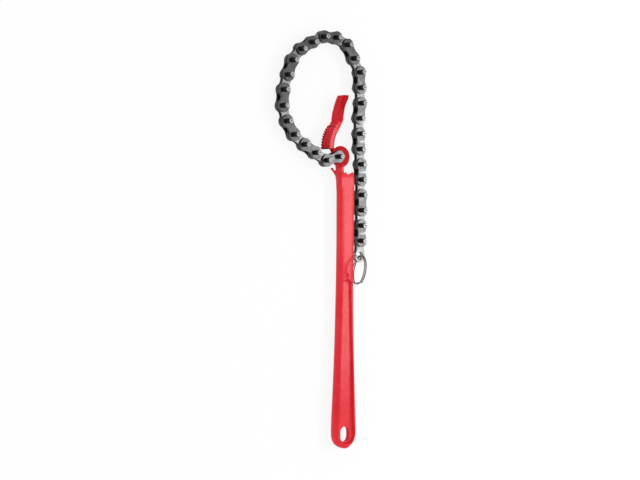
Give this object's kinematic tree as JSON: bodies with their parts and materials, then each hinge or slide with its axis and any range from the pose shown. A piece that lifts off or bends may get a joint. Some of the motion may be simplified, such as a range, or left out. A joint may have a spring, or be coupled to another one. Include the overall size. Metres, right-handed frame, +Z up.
{
  "type": "chain wrench",
  "caption": "Chain wrench: a forged handle with a curved toothed jaw and a hang hole, a loop of pinned links hinged at its boss, and a split ring on the chain's free end.",
  "frame": {"origin": "centre of the anchor pin's lower end, on the surface the wrench lies on", "axes": "+Y along the handle from the grip to the jaw, +Z up along the chain's pins, +X to the side on which the chain's free end hangs down beside the handle"},
  "size_m": [0.1137, 0.4294, 0.0311],
  "materials": {
    "red_paint": "gloss red paint over a forging",
    "pin_steel": "ground bright pin end",
    "outer_plate_steel": "dark oiled steel with bright pin ends",
    "inner_plate_steel": "dark oiled steel",
    "end_link_steel": "light nickel-coloured steel",
    "nickel_wire": "bright nickel-plated wire"
  },
  "bodies": {
    "handle": {"handle": "red_paint", "anchor_pin": "pin_steel"},
    "link_01": {"link_01_pin_plate": "outer_plate_steel", "link_01_cover_plate": "outer_plate_steel"},
    "link_02": {"link_02_bush_plate": "inner_plate_steel", "link_02_side_plate": "inner_plate_steel"},
    "link_03": {"link_03_pin_plate": "outer_plate_steel", "link_03_cover_plate": "outer_plate_steel"},
    "link_04": {"link_04_bush_plate": "inner_plate_steel", "link_04_side_plate": "inner_plate_steel"},
    "link_05": {"link_05_pin_plate": "outer_plate_steel", "link_05_cover_plate": "outer_plate_steel"},
    "link_06": {"link_06_bush_plate": "inner_plate_steel", "link_06_side_plate": "inner_plate_steel"},
    "link_07": {"link_07_pin_plate": "outer_plate_steel", "link_07_cover_plate": "outer_plate_steel"},
    "link_08": {"link_08_bush_plate": "inner_plate_steel", "link_08_side_plate": "inner_plate_steel"},
    "link_09": {"link_09_pin_plate": "outer_plate_steel", "link_09_cover_plate": "outer_plate_steel"},
    "link_10": {"link_10_bush_plate": "inner_plate_steel", "link_10_side_plate": "inner_plate_steel"},
    "link_11": {"link_11_pin_plate": "outer_plate_steel", "link_11_cover_plate": "outer_plate_steel"},
    "link_12": {"link_12_bush_plate": "inner_plate_steel", "link_12_side_plate": "inner_plate_steel"},
    "link_13": {"link_13_pin_plate": "outer_plate_steel", "link_13_cover_plate": "outer_plate_steel"},
    "link_14": {"link_14_bush_plate": "inner_plate_steel", "link_14_side_plate": "inner_plate_steel"},
    "link_15": {"link_15_pin_plate": "outer_plate_steel", "link_15_cover_plate": "outer_plate_steel"},
    "link_16": {"link_16_bush_plate": "inner_plate_steel", "link_16_side_plate": "inner_plate_steel"},
    "link_17": {"link_17_pin_plate": "outer_plate_steel", "link_17_cover_plate": "outer_plate_steel"},
    "link_18": {"link_18_bush_plate": "inner_plate_steel", "link_18_side_plate": "inner_plate_steel"},
    "link_19": {"link_19_pin_plate": "outer_plate_steel", "link_19_cover_plate": "outer_plate_steel"},
    "link_20": {"link_20_bush_plate": "inner_plate_steel", "link_20_side_plate": "inner_plate_steel"},
    "link_21": {"link_21_pin_plate": "outer_plate_steel", "link_21_cover_plate": "outer_plate_steel"},
    "link_22": {"link_22_bush_plate": "inner_plate_steel", "link_22_side_plate": "inner_plate_steel"},
    "link_23": {"link_23_pin_plate": "outer_plate_steel", "link_23_cover_plate": "outer_plate_steel"},
    "link_24": {"link_24_bush_plate": "inner_plate_steel", "link_24_side_plate": "inner_plate_steel"},
    "link_25": {"link_25_pin_plate": "outer_plate_steel", "link_25_cover_plate": "outer_plate_steel"},
    "link_26": {"link_26_bush_plate": "inner_plate_steel", "link_26_side_plate": "inner_plate_steel"},
    "link_27": {"link_27_pin_plate": "outer_plate_steel", "link_27_cover_plate": "outer_plate_steel"},
    "link_28": {"link_28_bush_plate": "end_link_steel", "link_28_side_plate": "end_link_steel"},
    "split_ring": {"split_ring": "nickel_wire"}
  },
  "joints": [
    {"name": "link_01_hinge", "type": "hinge", "parent": "handle", "child": "link_01", "pos_m": [0, 0, 0.00975], "axis": [0, 0, 1], "range_deg": [0, 9]},
    {"name": "link_02_hinge", "type": "hinge", "parent": "link_01", "child": "link_02", "pos_m": [-0.01533, -0.00411, 0.00975], "axis": [0, 0, 1], "range_deg": [0, 9]},
    {"name": "link_03_hinge", "type": "hinge", "parent": "link_02", "child": "link_03", "pos_m": [-0.02935, 0.00334, 0.00975], "axis": [0, 0, 1], "range_deg": [0, 9]},
    {"name": "link_04_hinge", "type": "hinge", "parent": "link_03", "child": "link_04", "pos_m": [-0.0431, 0.01128, 0.00975], "axis": [0, 0, 1], "range_deg": [0, 11]},
    {"name": "link_05_hinge", "type": "hinge", "parent": "link_04", "child": "link_05", "pos_m": [-0.05578, 0.02084, 0.00975], "axis": [0, 0, 1], "range_deg": [0, 18]},
    {"name": "link_06_hinge", "type": "hinge", "parent": "link_05", "child": "link_06", "pos_m": [-0.06465, 0.034, 0.00975], "axis": [0, 0, 1], "range_deg": [0, 25]},
    {"name": "link_07_hinge", "type": "hinge", "parent": "link_06", "child": "link_07", "pos_m": [-0.0693, 0.04918, 0.00975], "axis": [0, 0, 1], "range_deg": [0, 25]},
    {"name": "link_08_hinge", "type": "hinge", "parent": "link_07", "child": "link_08", "pos_m": [-0.06819, 0.06501, 0.00975], "axis": [0, 0, 1], "range_deg": [0, 25]},
    {"name": "link_09_hinge", "type": "hinge", "parent": "link_08", "child": "link_09", "pos_m": [-0.06328, 0.08011, 0.00975], "axis": [0, 0, 1], "range_deg": [0, 25]},
    {"name": "link_10_hinge", "type": "hinge", "parent": "link_09", "child": "link_10", "pos_m": [-0.05759, 0.09493, 0.00975], "axis": [0, 0, 1], "range_deg": [0, 25]},
    {"name": "link_11_hinge", "type": "hinge", "parent": "link_10", "child": "link_11", "pos_m": [-0.04697, 0.10673, 0.00975], "axis": [0, 0, 1], "range_deg": [0, 25]},
    {"name": "link_12_hinge", "type": "hinge", "parent": "link_11", "child": "link_12", "pos_m": [-0.03309, 0.11443, 0.00975], "axis": [0, 0, 1], "range_deg": [0, 25]},
    {"name": "link_13_hinge", "type": "hinge", "parent": "link_12", "child": "link_13", "pos_m": [-0.01858, 0.12088, 0.00975], "axis": [0, 0, 1], "range_deg": [0, 25]},
    {"name": "link_14_hinge", "type": "hinge", "parent": "link_13", "child": "link_14", "pos_m": [-0.00271, 0.12116, 0.00975], "axis": [0, 0, 1], "range_deg": [0, 25]},
    {"name": "link_15_hinge", "type": "hinge", "parent": "link_14", "child": "link_15", "pos_m": [0.01179, 0.1147, 0.00975], "axis": [0, 0, 1], "range_deg": [0, 25]},
    {"name": "link_16_hinge", "type": "hinge", "parent": "link_15", "child": "link_16", "pos_m": [0.02044, 0.10139, 0.00975], "axis": [0, 0, 1], "range_deg": [0, 25]},
    {"name": "link_17_hinge", "type": "hinge", "parent": "link_16", "child": "link_17", "pos_m": [0.02837, 0.08764, 0.00975], "axis": [0, 0, 1], "range_deg": [0, 25]},
    {"name": "link_18_hinge", "type": "hinge", "parent": "link_17", "child": "link_18", "pos_m": [0.02893, 0.07178, 0.00975], "axis": [0, 0, 1], "range_deg": [0, 25]},
    {"name": "link_19_hinge", "type": "hinge", "parent": "link_18", "child": "link_19", "pos_m": [0.02976, 0.05592, 0.00975], "axis": [0, 0, 1], "range_deg": [0, 25]},
    {"name": "link_20_hinge", "type": "hinge", "parent": "link_19", "child": "link_20", "pos_m": [0.02782, 0.04017, 0.00975], "axis": [0, 0, 1], "range_deg": [0, 25]},
    {"name": "link_21_hinge", "type": "hinge", "parent": "link_20", "child": "link_21", "pos_m": [0.0281, 0.02429, 0.00975], "axis": [0, 0, 1], "range_deg": [0, 25]},
    {"name": "link_22_hinge", "type": "hinge", "parent": "link_21", "child": "link_22", "pos_m": [0.0281, 0.00842, 0.00975], "axis": [0, 0, 1], "range_deg": [0, 25]},
    {"name": "link_23_hinge", "type": "hinge", "parent": "link_22", "child": "link_23", "pos_m": [0.02976, -0.00737, 0.00975], "axis": [0, 0, 1], "range_deg": [0, 25]},
    {"name": "link_24_hinge", "type": "hinge", "parent": "link_23", "child": "link_24", "pos_m": [0.02976, -0.02324, 0.00975], "axis": [0, 0, 1], "range_deg": [0, 25]},
    {"name": "link_25_hinge", "type": "hinge", "parent": "link_24", "child": "link_25", "pos_m": [0.03032, -0.03911, 0.00975], "axis": [0, 0, 1], "range_deg": [0, 25]},
    {"name": "link_26_hinge", "type": "hinge", "parent": "link_25", "child": "link_26", "pos_m": [0.03004, -0.05498, 0.00975], "axis": [0, 0, 1], "range_deg": [0, 25]},
    {"name": "link_27_hinge", "type": "hinge", "parent": "link_26", "child": "link_27", "pos_m": [0.02948, -0.07085, 0.00975], "axis": [0, 0, 1], "range_deg": [0, 25]},
    {"name": "link_28_hinge", "type": "hinge", "parent": "link_27", "child": "link_28", "pos_m": [0.02948, -0.08672, 0.00975], "axis": [0, 0, 1], "range_deg": [0, 25]},
    {"name": "split_ring_hinge", "type": "hinge", "parent": "link_28", "child": "split_ring", "pos_m": [0.02838, -0.10256, 0.00975], "axis": [0, 0, 1], "range_deg": [0, 90]}
  ]
}
